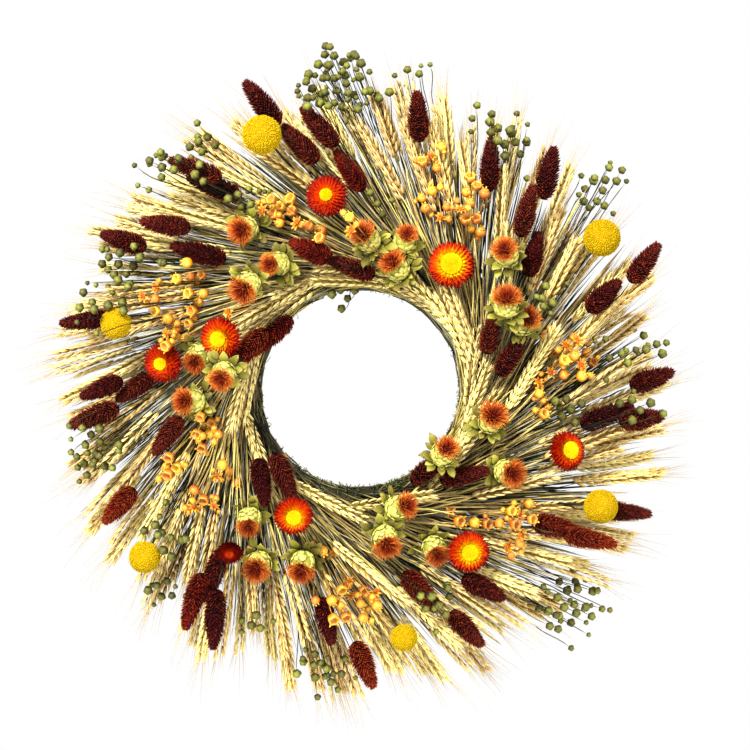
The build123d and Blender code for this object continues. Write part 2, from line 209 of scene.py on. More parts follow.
def frames(ways, out):
    """A basis for each direction, as columns x, y, z: z along it and y as near as can be to out."""
    z = unit(ways)
    out = np.broadcast_to(out, z.shape)
    y = unit(out - (out * z).sum(axis=-1, keepdims=True) * z)
    return np.stack([np.cross(y, z), y, z], axis=-1)


def placed(name, data):
    """A new object in the scene."""
    made = bpy.data.objects.new(name, data)
    scene.collection.objects.link(made)
    return made


class Piece:
    """One visible object, gathered from many small shapes."""

    def __init__(self, name, materials):
        self.name, self.materials = name, materials
        self.points, self.tris, self.slots, self.tints, self.grades = [], [], [], [], []
        self.count = 0

    def add(self, shape, material, tint):
        """Adds one shape that is already in place."""
        self.scatter(shape, np.eye(3)[None], np.zeros((1, 3)), material, tint)

    def scatter(self, shape, bases, places, material, tint, size=1.0, grade=(0, 1)):
        """Adds a copy of a shape at each place, turned by its basis and scaled. grade is the start
        and the span of its colours."""
        number, each = len(places), len(shape.points)
        size = np.broadcast_to(np.asarray(size, float), number)[:, None, None]
        points = np.einsum("nij,pj->npi", bases, shape.points) * size + np.asarray(places)[:, None]
        self.points.append(points.reshape(-1, 3))
        offset = self.count + each * np.arange(number)
        tris = shape.tris[None] + offset[:, None, None]
        self.tris.append(tris.reshape(-1, 3))
        self.slots.append(np.full(number * len(shape.tris), self.materials.index(material)))
        self.tints.append(np.repeat(np.broadcast_to(np.asarray(tint, float), number), each))
        self.grades.append(grade[0] + grade[1] * np.tile(shape.grade, number))
        self.count += number * each

    def build(self, body, slot, *nodes):
        """Makes the mesh object, riding on the body, in place of the CAD nodes."""
        points, tris = np.concatenate(self.points), np.concatenate(self.tris)
        points[:, 1] = np.minimum(points[:, 1], BACK)
        mesh = bpy.data.meshes.new(self.name)
        mesh.vertices.add(len(points))
        mesh.vertices.foreach_set("co", points.astype(np.float32).reshape(-1))
        mesh.loops.add(3 * len(tris))
        mesh.loops.foreach_set("vertex_index", tris.astype(np.int32).reshape(-1))
        mesh.polygons.add(len(tris))
        mesh.polygons.foreach_set("loop_start", 3 * np.arange(len(tris), dtype=np.int32))
        mesh.polygons.foreach_set("material_index", np.concatenate(self.slots).astype(np.int32))
        mesh.polygons.foreach_set("use_smooth", np.ones(len(tris), bool))
        for name, values in (("tint", self.tints), ("grade", self.grades)):
            layer = mesh.attributes.new(name, "FLOAT", "POINT")
            layer.data.foreach_set("value", np.concatenate(values).astype(np.float32))
        for material in self.materials:
            mesh.materials.append(material)
        mesh.update(calc_edges=True)
        obj = placed(self.name, mesh)
        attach(obj, body)
        if nodes:
            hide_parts(*nodes)


# ---- materials


MIX_FACTOR, MIX_A, MIX_B, MIX_RESULT = 0, 6, 7, 2  # a mix node's colour sockets
PATCH_GRAINS = 5  # a mottled patch is this many grains across
PATCH_RANGE = {"From_Min": 0.3, "From_Max": 0.7}  # the noise's used range
RELIEF = 0.4 * MM


def rgb(code):
    """Linear colour from an sRGB hex code."""
    srgb = [int(code[k : k + 2], 16) / 255 for k in (0, 2, 4)]
    return [c / 12.92 if c <= 0.04045 else ((c + 0.055) / 1.055) ** 2.4 for c in srgb] + [1.0]


def plant(name, stops, tint_dark=0.7, tint_light=1.15, hue=0.0, grain=900, stretch=(1, 1, 1),
          rough=(0.55, 0.85), bump=0.25, mottle=0.35, gloss=0.5):
    """A dried plant's surface: a colour ramp along each shape, varied from shape to shape by its tint,
    mottled and grained by noise."""
    material = bpy.data.materials.new(name)
    material.use_nodes = True
    tree = material.node_tree
    link = tree.links.new
    shader = tree.nodes["Principled BSDF"]
    shader.inputs["Specular IOR Level"].default_value = gloss

    def node(kind, **inputs):
        """A new node, with its inputs linked or set. An underscore stands for a space."""
        made = tree.nodes.new("ShaderNode" + kind)
        for key, value in inputs.items():
            socket = made.inputs[key.replace("_", " ")]
            if isinstance(value, bpy.types.NodeSocket):
                link(value, socket)
            else:
                socket.default_value = value
        return made

    def attribute(layer):
        made = node("Attribute")
        made.attribute_name = layer
        return made.outputs["Fac"]

    def ranged(value, low, high, **limits):
        return node("MapRange", Value=value, To_Min=low, To_Max=high, **limits).outputs["Result"]

    ramp = node("ValToRGB", Fac=attribute("grade"))
    while len(ramp.color_ramp.elements) < len(stops):
        ramp.color_ramp.elements.new(0.5)
    for element, (position, code) in zip(ramp.color_ramp.elements, stops):
        element.position = position
        element.color = rgb(code)
    tint = attribute("tint")
    vary = node("HueSaturation", Color=ramp.outputs["Color"], Value=ranged(tint, tint_dark, tint_light),
                Hue=ranged(tint, 0.5 - hue, 0.5 + hue))

    squeeze = node("Mapping", Scale=stretch, Vector=node("TexCoord").outputs["Object"])

    def noise(scale, detail):
        made = node("TexNoise", Scale=scale, Detail=detail, Vector=squeeze.outputs["Vector"])
        return made.outputs["Fac"]

    patches = noise(grain / PATCH_GRAINS, 4)
    mottled = node("Mix")
    mottled.data_type = "RGBA"
    mottled.blend_type = "MULTIPLY"
    mottled.inputs[MIX_FACTOR].default_value = 1
    link(vary.outputs["Color"], mottled.inputs[MIX_A])
    link(ranged(patches, 1 - mottle, 1 + mottle / 3, **PATCH_RANGE), mottled.inputs[MIX_B])
    link(mottled.outputs[MIX_RESULT], shader.inputs["Base Color"])

    fine = noise(grain, 3)
    link(ranged(fine, *rough), shader.inputs["Roughness"])
    relief = node("Bump", Strength=bump, Distance=RELIEF, Height=fine)
    link(relief.outputs["Normal"], shader.inputs["Normal"])
    return material


# Each glume runs from a dark foot to a near-white tip: the ears' own gold and cream, with painted shade
# in the lines between the grains and a painted highlight on the glume tips.
EAR_GOLD = plant(
    "wheat_ear_gold", [(0, "94702e"), (0.3, "d6b05c"), (0.65, "eed48e"), (1, "f8e8b8")], 0.76, 1.12,
    0.012, 1500, mottle=0.28)
EAR_PALE = plant(
    "wheat_ear_pale", [(0, "ac9044"), (0.3, "e4ca78"), (0.65, "f5e29a"), (1, "fdf0c0")], 0.8, 1.1,
    0.012, 1500, mottle=0.25)
AWN = plant("wheat_awn", [(0, "cca24e"), (0.5, "dcbc74"), (1, "d0b27c")], 0.7, 1.12, 0.008, 1200)
STRAW = plant(
    "straw", [(0, "84763c"), (0.4, "cab060"), (1, "ecd48c")], 0.45, 1.15, 0.02, 1100, mottle=0.4,
    gloss=0.6)
SILVER = plant(
    "silvery_stem", [(0, "3a3f34"), (0.5, "9a9c88"), (1, "dedac0")], 0.5, 1.2, 0.02, 1100, mottle=0.4)
# Near black to dark olive: the flax stems' own dark green, deepened into painted shade so that the
# stems among the wheat stand for the shade between the stalks.
GREEN_STEM = plant(
    "green_stem", [(0, "0e110a"), (0.5, "22271a"), (1, "4a4c24")], 0.3, 1.5, 0.02, 900, gloss=0.2)
# Both grass ramps run from near black at a scale's foot to a lighter tip: the heads' own maroon and
# rust, with painted shade where the scales overlap and a painted highlight on the scale tips.
CANARY = plant(
    "canary_grass", [(0, "0a0201"), (0.4, "2c0806"), (0.75, "541510"), (1, "90402f")], 0.5, 1.5, 0.01,
    1400, bump=0.3, mottle=0.25, gloss=0.1)
RUST = plant(
    "rusty_grass", [(0, "180401"), (0.4, "541508"), (0.75, "842a12"), (1, "b04e26")], 0.6, 1.25, 0.01,
    1400, bump=0.3, mottle=0.25, gloss=0.1)
TUFT = plant(
    "safflower_tuft", [(0, "420907"), (0.25, "8e260c"), (0.6, "cf5f1e"), (1, "ec9240")], 0.6, 1.15,
    0.01, 1500, gloss=0.2)
BRACT = plant(
    "green_bract", [(0, "74782c"), (0.3, "b4b04c"), (0.8, "dcd47c"), (1, "8c8440")], 0.76, 1.08, 0.012,
    700, bump=0.3, mottle=0.28, gloss=0.2)
LEAF = plant(
    "leafy_bract", [(0, "5a5820"), (0.5, "8c8634"), (0.85, "aca250"), (1, "6a5c28")], 0.45, 1.2, 0.012,
    600, bump=0.4, gloss=0.2)
PETAL = plant(
    "strawflower_petal", [(0, "f4dc10"), (0.26, "f2b400"), (0.42, "ee8004"), (0.6, "e04a04"),
    (0.8, "b42404"), (1, "5c0a02")], 0.7, 1.1, 0.006, 800, rough=(0.5, 0.7), bump=0.2, mottle=0.2,
    gloss=0.12)
EYE = plant(
    "strawflower_eye", [(0, "e0b000"), (0.6, "f2d200"), (1, "f8e414")], 0.85, 1.06, 0.006, 1600,
    mottle=0.08, gloss=0.15)
GLOBE = plant(
    "craspedia", [(0, "a07800"), (0.5, "b09004"), (1, "c2a60c")], 0.85, 1.08, 0.006, 1500, mottle=0.12,
    gloss=0.1)
ORANGE = plant(
    "orange_pod", [(0, "96400a"), (0.3, "c86e12"), (0.7, "e69c2c"), (1, "f2c256")], 0.72, 1.08, 0.018,
    800, rough=(0.35, 0.6), gloss=0.4)
# The flax pods' own olive, with a painted highlight in the pale band round the point and painted shade
# in the darker sides and near-black foot.
FLAX = plant(
    "flax_pod", [(0, "1e200c"), (0.35, "424416"), (0.75, "828034"), (1, "6a6226")], 0.5, 1.15, 0.012,
    900, rough=(0.4, 0.65), gloss=0.3)
CORE = plant(
    "moss_and_stems", [(0, "2a281a"), (0.5, "544f34"), (1, "7e764e")], 0.45, 1.8, 0.02, 700,
    mottle=0.5, gloss=0.25)
POD_STEM = plant("pod_stem", [(0, "5a4a22"), (0.5, "a8803a"), (1, "c98f3e")], 0.7, 1.2, 0.015, 900)
MOSS = plant("moss", [(0, "2c3316"), (0.5, "56602a"), (1, "8c9440")], 0.5, 1.5, 0.02, 900, mottle=0.4)
RAFFIA = plant("raffia", [(0, "b79f62"), (1, "d9c58c")], 0.8, 1.1, 0.01, 1500, stretch=(0.2, 1, 1))
DULLED_METAL = 0.8


def wire(name, code, rough):
    """Drawn wire, dulled and lightly stained."""
    material = plant(name, [(0, code), (1, code)], 1, 1, 0, 400, rough=rough, bump=0.1, mottle=0.4)
    material.node_tree.nodes["Principled BSDF"].inputs["Metallic"].default_value = DULLED_METAL
    return material


FRAME_WIRE = wire("frame_wire", "5a544c", (0.35, 0.6))
PADDLE_WIRE = wire("paddle_wire", "33402c", (0.4, 0.65))
LOOP_METAL = wire("loop_wire", "8a847a", (0.3, 0.5))


# ---- places on the ring


def ring_place(point):
    """Radius and outward direction of a point, seen from the front."""
    flat = np.array([point[0] - CENTRE[0], 0, point[2] - CENTRE[2]])
    radius = np.linalg.norm(flat)
    return radius, flat / radius


SWIRL = 94 * MM  # the stems lie along tangents to about this circle
STEEPEST = 0.98  # the sine of the most that a stem leans from outward


def stem_way(point):
    """The way stems point at this place: outward, and anticlockwise as seen from the front."""
    radius, out = ring_place(point)
    lean = math.asin(min(STEEPEST, SWIRL / radius))
    across = np.array([-out[2], 0, out[0]])
    return math.cos(lean) * out + math.sin(lean) * across


def wander(path, amount):
    """A path with a gentle random bow, its ends left where they are."""
    path = np.asarray(path, float)
    s = np.linspace(0, 1, len(path))[:, None]
    path = path + np.sin(math.pi * s) * normal(0, amount, 3)
    return path + np.sin(TURN * s) * normal(0, amount / 2, 3)


def straight(a, b, count):
    """Points at even steps from a to b."""
    s = np.linspace(0, 1, count)[:, None]
    return (1 - s) * np.asarray(a) + s * np.asarray(b)


def behind(point, way, back, deep):
    """A place back along a stem from a point and deeper in the ring, by these millimetres."""
    return point - way * back * MM - FORWARD * deep * MM


GOLDEN = math.pi * (3 - math.sqrt(5))


def spiral(count):
    """Directions round an axis for shapes in a golden-angle spiral."""
    turn = GOLDEN * np.arange(count)
    return np.stack([np.cos(turn), np.sin(turn)], axis=1)


def around(head, pairs):
    """World directions square to a head's axis."""
    axes = frames(head.way[None], HEAD_OUT)[0]
    return pairs[:, :1] * axes[:, 0] + pairs[:, 1:] * axes[:, 1]


def ring_of(head, count, shift=0.0, jitter=0.08):
    """World directions evenly round a head's axis."""
    turn = TURN * (np.arange(count) + shift) / count + normal(0, jitter, count)
    return around(head, np.stack([np.cos(turn), np.sin(turn)], axis=1))


def leaned(head, out, degrees):
    """Directions leaning out from a head's axis."""
    lean = np.radians(degrees)
    return np.cos(lean)[:, None] * head.way + np.sin(lean)[:, None] * out


def varied(tint, spread, count):
    """A tint for each of many shapes, about one tint."""
    return np.clip(tint + normal(0, spread, count), 0, 1)


# ---- wheat

WHEAT_STEM = 1.1 * MM
EAR_WIDEST = 0.35  # an ear is widest at this share of its length
GLUME = blade(13 * MM, (1.05, 1.45, 1.15, 0.45), (0.9, 1.1, 0.85, 0.35), 5, curl=-0.9)
HAIR = blade(1, (0.2, 0.15, 0.09), (0.2, 0.15, 0.09), 3, curl=3)
SPIKELET_PITCH = 3.9 * MM
FLORET_FAN = np.radians([-42, -21, 0, 21, 42])
FLORET_LEAN = (15.5, 3)  # degrees off the stalk: mean and spread
FLORET_OFF = 2.4 * MM  # off the ear's axis
EAR_FAT = 6.3 * MM  # a stalk whose solid is this fat has glumes of just the size above
EAR_NOD = 3 * MM
EAR_END = 7 * MM  # the spikelets end this far below the ear's tip
AWN_ROWS = 2.2  # awns to a spikelet
AWN_LONG = (14 * MM, 60 * MM)
AWN_SHORTEST = 10 * MM
AWN_SKEW = 1.5  # short awns outnumber long ones
AWN_SPREAD, AWN_LEAST_SPREAD = 4, 1.2  # degrees off the stalk
AWN_OFF = 2.6 * MM
AWN_END = 8 * MM  # the awns start at least this far below the ear's tip
AWN_UNEVEN = (-3, 24)  # how far short of the solid's end the awns stop, in millimetres
OUTER_EAR = 245 * MM  # ears whose tips lie beyond this are of uneven length
UNEVEN = 14  # by this many millimetres
PALE_RADIUS = 222 * MM  # ears whose tips lie nearer the hole than this are mostly pale
PALE_INNER, PALE_OUTER = 0.92, 0.45
STALK_IN_EAR = 3 * MM
STALK_RADII = np.linspace(1.15, 0.8, 8) * MM


def wheat_ear(piece, stalk, tip, material, tint):
    """Spikelets in two rows up the ear, each a fan of florets, and a brush of long awns."""
    neck, long = stalk.neck, tip - stalk.neck
    roll = normal(0, 0.5)
    axes = frames(stalk.way[None], FORWARD)[0]
    x = math.cos(roll) * axes[:, 0] + math.sin(roll) * axes[:, 1]
    y = np.cross(stalk.way, x)
    nod = normal(0, EAR_NOD, 2)
    rows = int(long / SPIKELET_PITCH)
    row = np.arange(rows)
    height = neck + (row + 0.2) * (long - EAR_END) / rows
    side = np.where(row % 2 == 0, 1.0, -1.0)
    share = row / rows
    size = (0.8 + 0.8 * share * (1 - share)) * (stalk.fat / EAR_FAT)

    def swayed(along):
        """Points on the ear's axis, which nods more towards its tip."""
        bend = np.clip((along - neck) / long, 0, 1.4) ** 2
        return np.outer(bend, nod[0] * x + nod[1] * y) + np.outer(along, stalk.way) + stalk.base

    for fan in FLORET_FAN:
        lean = normal(*FLORET_LEAN, rows)
        turn = fan + normal(0, 0.09, rows)
        out = unit(side[:, None] * x * np.cos(turn)[:, None] + y * np.sin(turn * 1.5)[:, None])
        ways = unit(leaned(stalk, out, lean) + y * (0.35 * np.sin(turn))[:, None])
        # Each glume's colours run from painted shade at its foot to a painted highlight at its tip.
        piece.scatter(GLUME, frames(ways, out), swayed(height) + out * FLORET_OFF, material,
                      varied(tint, 0.16, rows), size)

    awns = int(AWN_ROWS * rows)
    start = neck + uniform(0.08, 1, awns) * (long - AWN_END)
    turn = uniform(0, TURN, awns)
    out = np.cos(turn)[:, None] * x + 0.75 * np.sin(turn)[:, None] * y
    spread = np.radians(np.abs(normal(0, AWN_SPREAD, awns)) + AWN_LEAST_SPREAD)
    ways = unit(stalk.way + np.tan(spread)[:, None] * out + normal(0, 0.02, out.shape))
    room = stalk.length - start - uniform(*AWN_UNEVEN, awns) * MM
    bases = frames(ways, out)
    reach = AWN_LONG[0] + np.ptp(AWN_LONG) * random(awns) ** AWN_SKEW
    bases[:, :, 2] *= np.clip(reach, AWN_SHORTEST, np.maximum(room, AWN_SHORTEST))[:, None]
    piece.scatter(HAIR, bases, swayed(start) + out * AWN_OFF, AWN, random(awns))


def wheat_bunch(piece, stalks):
    """An ear and its straw for each stalk."""
    for stalk in stalks:
        tip = stalk.neck + (stalk.widest - stalk.neck) / EAR_WIDEST
        tip_radius, _ = ring_place(stalk.base + stalk.way * tip)
        if tip_radius > OUTER_EAR:
            tip -= abs(normal(0, UNEVEN)) * MM
        pale = random() < (PALE_INNER if tip_radius < PALE_RADIUS else PALE_OUTER)
        wheat_ear(piece, stalk, tip, EAR_PALE if pale else EAR_GOLD, uniform(0.15, 0.9))
        foot = behind(stalk.base, stalk.way, 26, 9)
        top = stalk.base + (stalk.neck + STALK_IN_EAR) * stalk.way
        path = np.concatenate([[foot], straight(stalk.base, top, len(STALK_RADII) - 1)])
        piece.add(rope(wander(path, 0.6 * MM), STALK_RADII, 6), STRAW, random())


# Thin stems among the wheat, laid along tangents to a circle as the stalks are: how many to a bunch,
# then in millimetres the circle's radius, the start and end along the tangent, the distance from the
# door at start and end, and the stem's radius
# The near-black green stems deep among the wheat are partly painted shade between the stalks.
FILLERS = (
    (72, 91, (10, 60), (140, 224), (30, 38), (9, 16), (0.35, 0.75), GREEN_STEM),
    (56, 93, (20, 70), (150, 236), (33, 42), (20, 34), (0.3, 0.6), GREEN_STEM),
    (44, 96, (20, 80), (110, 205), (38, 48), (34, 52), (0.3, 0.55), GREEN_STEM),
    (24, 92, (10, 60), (160, 238), (32, 40), (12, 26), (0.5, 1.0), STRAW),
    (34, 98, (20, 80), (100, 200), (40, 50), (40, 56), (0.35, 0.8), STRAW),
    (16, 104, (0, 60), (70, 150), (44, 54), (52, 66), (0.3, 0.6), STRAW),
    (34, 96, (10, 80), (110, 225), (38, 52), (34, 60), (0.3, 0.6), SILVER),
    (6, 92, (60, 120), (220, 256), (34, 40), (16, 32), (1.1, 1.7), STRAW),
)
BUNCHES = 12
STEM_STEPS = 8
TOUCH_JITTER = (-3, 9)


def tangent(angle, touch, start, end, depths, skew):
    """A stem's path, in millimetres along and off a tangent to the touch circle at this angle."""
    out = np.array([math.cos(angle), 0, math.sin(angle)])
    run = np.array([-out[2], 0, out[0]])
    foot = CENTRE * (1, 0, 1) + touch * MM * out
    path = straight(foot + start * MM * run, foot + end * MM * run + skew * (end - start) * MM * out,
                    STEM_STEPS)
    path[:, 1] = DOOR_Y - np.linspace(*depths, STEM_STEPS) * MM
    return path


def stem_fillers(bunch):
    """Flax stems in their own dark green deepened to painted shade, pale cut straws and silvery stems
    of one bunch.
    """
    piece = Piece(f"stems_{bunch + 1:02}", [GREEN_STEM, STRAW, SILVER])
    for count, touch, start, end, deep, shallow, fat, material in FILLERS:
        for _ in range(count):
            angle = (bunch + random()) * TURN / BUNCHES
            depths = uniform(*deep), uniform(*shallow)
            path = tangent(angle, touch + uniform(*TOUCH_JITTER), uniform(*start), uniform(*end),
                           depths, normal(0, 0.04))
            piece.add(rope(wander(path, 2 * MM), uniform(*fat) * MM, 5), material, random())
    piece.build("ring", "wheat_straw")


RIM_ARC = (math.radians(-50), math.radians(165))  # where straw hides the core's inner edge
RIM_STRAWS = 420
RIM_STRAW_SHARE = 0.8  # the rest are silvery
RIM_EARS = 15
RIM_EAR_FAT, RIM_EAR_LONG = 5.6 * MM, 74 * MM
RIM_EAR_AWNS = 22 * MM  # beyond the ear's tip


def rim_straws():
    """Pale straws and short ears laid along the hole's top and right edge."""
    piece = Piece("rim_straws", [EAR_GOLD, EAR_PALE, AWN, STRAW, SILVER])
    for _ in range(RIM_STRAWS):
        depth = uniform(30, 46)
        path = tangent(uniform(*RIM_ARC), uniform(88, 99), uniform(-42, -5), uniform(30, 95),
                       (depth, depth + uniform(2, 12)), normal(0, 0.02))
        piece.add(rope(wander(path, 1.2 * MM), uniform(0.35, 0.85) * MM, 5),
                  STRAW if random() < RIM_STRAW_SHARE else SILVER, uniform(0.4, 1))
    for angle in np.linspace(*RIM_ARC, RIM_EARS) + normal(0, 0.06, RIM_EARS):
        depth = uniform(46, 52)
        path = tangent(angle, uniform(93, 103), -45, uniform(48, 66), (depth, depth + 5), 0)
        tip = np.linalg.norm(path[-1] - path[0])
        ear = Turned(path[0], unit(path[-1] - path[0]), tip + RIM_EAR_AWNS, RIM_EAR_FAT,
                     tip - RIM_EAR_LONG, tip)
        wheat_ear(piece, ear, tip, EAR_PALE, uniform(0.4, 0.95))
        stalk = straight(ear.base, ear.base + ear.neck * ear.way, 5)
        piece.add(rope(stalk, 1 * MM, 6), STRAW, 0.8)
    piece.build("ring", "wheat_straw")


# ---- canary grass

CANARY_SCALE = blade(4.9 * MM, (0.8, 0.72), (0.46, 0.38), 4, curl=0.6)
CANARY_OUTLINE = ((0, 0.12, 0.35, 0.65, 0.9, 1), (0.28, 0.82, 1, 0.8, 0.4, 0.08))
CANARY_SCALES = 620
CANARY_LEAN, CANARY_CLOSE = 56, 32  # degrees off the axis at the foot, and how much less at the tip
CANARY_CORE = 0.66  # the scales stand on a core this share of the solid's radius
CANARY_END = 5.5 * MM  # the last scale stands this far below the tip
RUSTY_HEADS = 0.2
RUSTY_SHARE, RUSTY_FOOT = 0.9, 0.35  # of a rusty head's scales, and of those at any other's foot


def canary_heads(piece, heads):
    """Dense spikes of overlapping scales round a core, each with some of its stem."""
    for head in heads:
        neck, long = head.neck, head.length - head.neck
        share = ((np.arange(CANARY_SCALES) + 0.5) / CANARY_SCALES) ** 0.9
        radius = np.interp(share, *CANARY_OUTLINE) * head.fat * CANARY_CORE
        out = around(head, spiral(CANARY_SCALES))
        ways = leaned(head, out, CANARY_LEAN - CANARY_CLOSE * share + normal(0, 8, CANARY_SCALES))
        axis = head.base + np.outer(neck + share * (long - CANARY_END), head.way)
        places = axis + out * radius[:, None]
        tints = varied(uniform(0.1, 0.8), 0.3, CANARY_SCALES)
        rusty = random(CANARY_SCALES) < (
            RUSTY_SHARE if random() < RUSTY_HEADS else RUSTY_FOOT * (1 - share) ** 2)
        size = uniform(0.8, 1.15, CANARY_SCALES)
        for material, chosen in ((CANARY, ~rusty), (RUST, rusty)):
            piece.scatter(CANARY_SCALE, frames(ways, out)[chosen], places[chosen], material,
                          tints[chosen], size[chosen])
        # The core takes the near-black foot of the ramp: painted shade between the scales.
        outline = [(CANARY_CORE * head.fat * r, s * long) for s, r in zip(*CANARY_OUTLINE)]
        core = lobed([(0, 0)] + outline[:-1] + [(0, 0.96 * long)], 10)
        piece.scatter(core, frames(head.way[None], FORWARD), [head.base + neck * head.way], CANARY, 0.1,
                      grade=(0, 0.2))
        tail = behind(head.base, stem_way(head.base), uniform(15, 24), uniform(12, 18))
        path = np.concatenate([straight(tail, head.base, 5), [head.base + 1.1 * neck * head.way]])
        piece.add(rope(wander(path, 1 * MM), 0.6 * MM, 6), GREEN_STEM, 0.6 * random())


# ---- safflower

BULB_BRACT = blade(10.5 * MM, (2.6, 4.2, 4.0, 2.1), (0.35, 0.45, 0.4, 0.25), 6, curl=-1.6, cup=-1.0)
LEAFY_BRACT = blade(14 * MM, (2.2, 4.0, 4.5, 3.9, 2.1), (0.35, 0.4, 0.4, 0.35, 0.25), 8, curl=-3,
                    cup=1.0)
THREAD = blade(1, (0.34, 0.4, 0.26), (0.3, 0.3, 0.2), 3, curl=1.5)
BULB_RADIUS = 11.6 * MM
BULB_TALL = 19 * MM
EGG = ((0, 0), (0.6, 0.06), (0.92, 0.26), (1, 0.48), (0.9, 0.74), (0.62, 0.93), (0, 1.0))
EGG_CORE, BRACT_FEET = 0.86, 0.84  # the plain egg's girth and that of the bracts' feet, as shares
BRACT_COUNTS = (9, 9, 9, 9, 9, 7)  # bracts in each ring, from the foot up
BRACT_PITCH = 2.3  # millimetres from ring to ring
BRACT_LEAN, BRACT_CLOSE = 38, 12  # degrees off the axis at the foot, and how much less ring by ring
THREADS = 300
THREAD_LONG = (9.5, 13.5)  # millimetres
TUFT_LEAN = 52  # degrees off the axis at the tuft's edge
TUFT_RADIUS = 4.8 * MM
TUFT_HEART = 0.42  # the threads nearer the middle than this stay dark to their tips
HEART = ((0, 0.6), (0.5, 0.7), (0.55, 0.92), (0.25, 1.1), (0, 1.15))
LEAVES = 16


def safflower_heads(piece, heads):
    """Bulbs of pale bracts, each with a ruff of leafy ones and a shaggy orange tuft."""
    for head in heads:
        foot = head.base + head.neck * head.way
        axes = frames(head.way[None], FORWARD)
        egg = lobed([(EGG_CORE * r * BULB_RADIUS, h * BULB_TALL) for r, h in EGG], 20)
        piece.scatter(egg, axes, [foot], BRACT, 0.6, grade=(0.05, 0.2))
        tint = uniform(0.35, 0.95)
        girths, heights = zip(*EGG)
        for ring, count in enumerate(BRACT_COUNTS):
            out = ring_of(head, count, 0.5 * (ring % 2))
            height = (0.3 + BRACT_PITCH * ring) * MM
            girth = np.interp((height + 2 * MM) / BULB_TALL, heights, girths)
            ways = leaned(head, out, BRACT_LEAN - BRACT_CLOSE * ring + normal(0, 4, count))
            places = foot + height * head.way + BULB_RADIUS * BRACT_FEET * girth * out
            piece.scatter(BULB_BRACT, frames(ways, out), places, BRACT, varied(tint, 0.15, count),
                          uniform(0.75, 1.0, count))
        out = ring_of(head, LEAVES, 0, 0.25)
        ways = leaned(head, out, uniform(48, 100, LEAVES))
        reach = uniform(4, 11, LEAVES)[:, None] * MM
        places = foot + uniform(0, 3) * MM * head.way + reach * out
        piece.scatter(LEAFY_BRACT, frames(ways, head.way - out), places, LEAF, random(LEAVES),
                      uniform(0.6, 1.05, LEAVES))
        plume = uniform(0.8, 1.1)
        heart = lobed([(r * BULB_RADIUS, h * BULB_TALL) for r, h in HEART], 16)
        piece.scatter(heart, axes, [foot], TUFT, 0.1, grade=(0, 0.2))
        out = around(head, spiral(THREADS))
        share = np.sqrt((np.arange(THREADS) + 0.5) / THREADS)
        ways = unit(leaned(head, out, TUFT_LEAN * share * plume + normal(0, 7, THREADS)))
        bases = frames(ways, out + 0.01)
        bases[:, :, 2] *= uniform(*THREAD_LONG, THREADS)[:, None] * plume * MM
        start = foot + 0.9 * BULB_TALL * head.way + out * (TUFT_RADIUS * share * plume)[:, None]
        tints = varied(0.25 + 0.6 * share, 0.2, THREADS)
        for chosen, span in ((share < TUFT_HEART, 0.5), (share >= TUFT_HEART, 1)):
            piece.scatter(THREAD, bases[chosen], start[chosen], TUFT, tints[chosen], grade=(0, span))
        tail = behind(head.base, stem_way(head.base), 24, 14)
        piece.add(rope(wander(straight(tail, foot, 6), 1.5 * MM), 1.1 * MM, 6), GREEN_STEM, random())


# ---- strawflowers

STRAW_BRACT = blade(1, (0.09, 0.12, 0.13, 0.11, 0.06), (0.018, 0.02, 0.02, 0.016, 0.01), 8, curl=0.1,
                    cup=0.06, thick=1)
EYE_FLORET = blade(3.2 * MM, (0.32, 0.42, 0.3), (0.32, 0.42, 0.3), 5)
STRAW_CUP = ((0, 0), (0.3, 0.1), (0.55, 2), (0.7, 5), (0.55, 7), (0, 7.5))
STRAW_DOME = ((0, 0), (1, 0.2), (0.97, 5.6), (0.6, 7.1), (0, 7.6))
STRAW_MIDDLE = 6 * MM  # above the cup's foot
STRAW_ROWS = 10
# For the petals: the outer row's value, and how much less it is in the inner row
PETAL_COUNT, PETAL_LONG = (34, 12), (0.62, 0.26)
OPEN_LEAN, CLOSED_LEAN = (93, 50), (60, 38)  # degrees off the axis
PETAL_FEET = 0.42, 0.2  # radii of the outer row's feet and, at least, the inner row's
CLOSED_DISC = 15 * MM  # a smaller flower than this is closed
CLOSED_FLORETS, EYE_FLORETS = 60, 2800  # the eye's are for one as wide as the disc
# The eye's share of the disc and how red the petals are, flower by flower
STRAWFLOWER_LOOKS = ((0.4, 0.05), (0.24, 1.0), (0.3, 0.35), (0.24, 1.0), (0.25, 1.0), (0.32, 0.3),
                     (0.33, 0.15), (0.36, 0.7))


